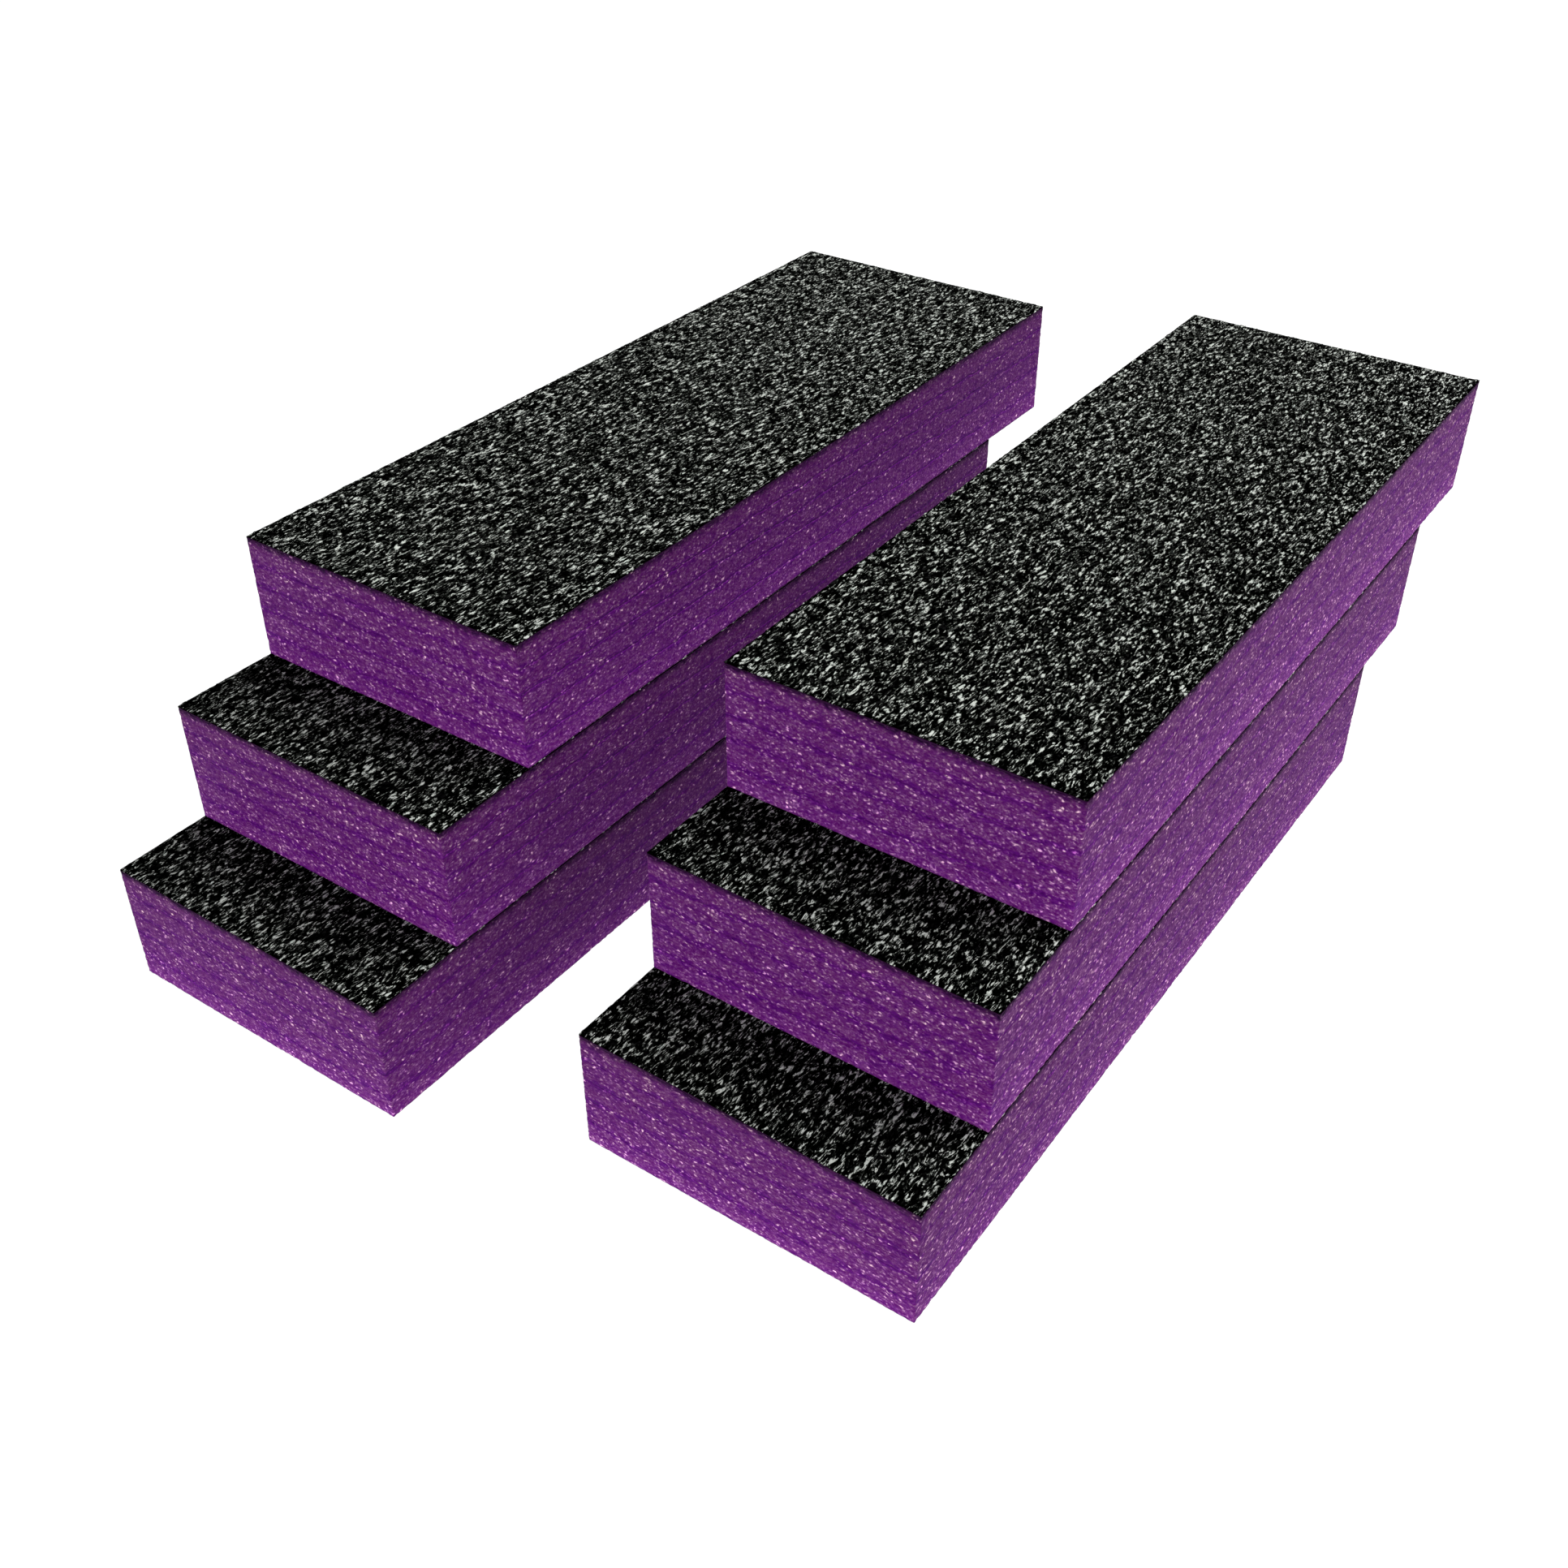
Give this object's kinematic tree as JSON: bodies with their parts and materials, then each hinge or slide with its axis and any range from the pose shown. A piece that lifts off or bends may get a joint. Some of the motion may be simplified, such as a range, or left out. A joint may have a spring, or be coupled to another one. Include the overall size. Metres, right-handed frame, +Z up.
{
  "type": "grit-topped foam pad set",
  "caption": "Slim cuboid foam pads, each with a black grit face bonded on top of purple plied foam, stacked in stepped piles. Each pad lifts off to give a grippy, abrasive surface.",
  "frame": {"origin": "middle of the set's footprint, on the surface that the lowest pads rest on", "axes": "+X across the two piles from left to right, +Y along the pads from their stepped front ends to their back ends, +Z up, out of the grit faces"},
  "size_m": [0.079, 0.1168, 0.0367],
  "materials": {
    "foam": "cut closed-cell foam in fused plies, deep purple with pale glinting cell walls",
    "bond_film": "thin dark adhesive film",
    "grit_backing": "thin matt black waterproof backing",
    "grit_coat": "black resin with dull grey silicon carbide grains, some catching the light"
  },
  "bodies": {
    "left_bottom_pad": {"left_bottom_foam_ply_1": "foam", "left_bottom_foam_ply_2": "foam", "left_bottom_foam_ply_3": "foam", "left_bottom_foam_ply_4": "foam", "left_bottom_foam_ply_5": "foam", "left_bottom_bond_film": "bond_film", "left_bottom_grit_backing": "grit_backing", "left_bottom_grit_coat": "grit_coat"},
    "left_middle_pad": {"left_middle_foam_ply_1": "foam", "left_middle_foam_ply_2": "foam", "left_middle_foam_ply_3": "foam", "left_middle_foam_ply_4": "foam", "left_middle_foam_ply_5": "foam", "left_middle_bond_film": "bond_film", "left_middle_grit_backing": "grit_backing", "left_middle_grit_coat": "grit_coat"},
    "left_top_pad": {"left_top_foam_ply_1": "foam", "left_top_foam_ply_2": "foam", "left_top_foam_ply_3": "foam", "left_top_foam_ply_4": "foam", "left_top_foam_ply_5": "foam", "left_top_bond_film": "bond_film", "left_top_grit_backing": "grit_backing", "left_top_grit_coat": "grit_coat"},
    "right_bottom_pad": {"right_bottom_foam_ply_1": "foam", "right_bottom_foam_ply_2": "foam", "right_bottom_foam_ply_3": "foam", "right_bottom_foam_ply_4": "foam", "right_bottom_foam_ply_5": "foam", "right_bottom_bond_film": "bond_film", "right_bottom_grit_backing": "grit_backing", "right_bottom_grit_coat": "grit_coat"},
    "right_middle_pad": {"right_middle_foam_ply_1": "foam", "right_middle_foam_ply_2": "foam", "right_middle_foam_ply_3": "foam", "right_middle_foam_ply_4": "foam", "right_middle_foam_ply_5": "foam", "right_middle_bond_film": "bond_film", "right_middle_grit_backing": "grit_backing", "right_middle_grit_coat": "grit_coat"},
    "right_top_pad": {"right_top_foam_ply_1": "foam", "right_top_foam_ply_2": "foam", "right_top_foam_ply_3": "foam", "right_top_foam_ply_4": "foam", "right_top_foam_ply_5": "foam", "right_top_bond_film": "bond_film", "right_top_grit_backing": "grit_backing", "right_top_grit_coat": "grit_coat"}
  },
  "joints": [
    {"name": "left_middle_lift", "type": "slide", "parent": "left_bottom_pad", "child": "left_middle_pad", "axis": [0, 0, 1], "range_m": [0, 0.04]},
    {"name": "left_top_lift", "type": "slide", "parent": "left_middle_pad", "child": "left_top_pad", "axis": [0, 0, 1], "range_m": [0, 0.04]},
    {"name": "right_pile_lift", "type": "slide", "parent": "left_bottom_pad", "child": "right_bottom_pad", "axis": [0, 0, 1], "range_m": [0, 0.04]},
    {"name": "right_middle_lift", "type": "slide", "parent": "right_bottom_pad", "child": "right_middle_pad", "axis": [0, 0, 1], "range_m": [0, 0.04]},
    {"name": "right_top_lift", "type": "slide", "parent": "right_middle_pad", "child": "right_top_pad", "axis": [0, 0, 1], "range_m": [0, 0.04]}
  ]
}
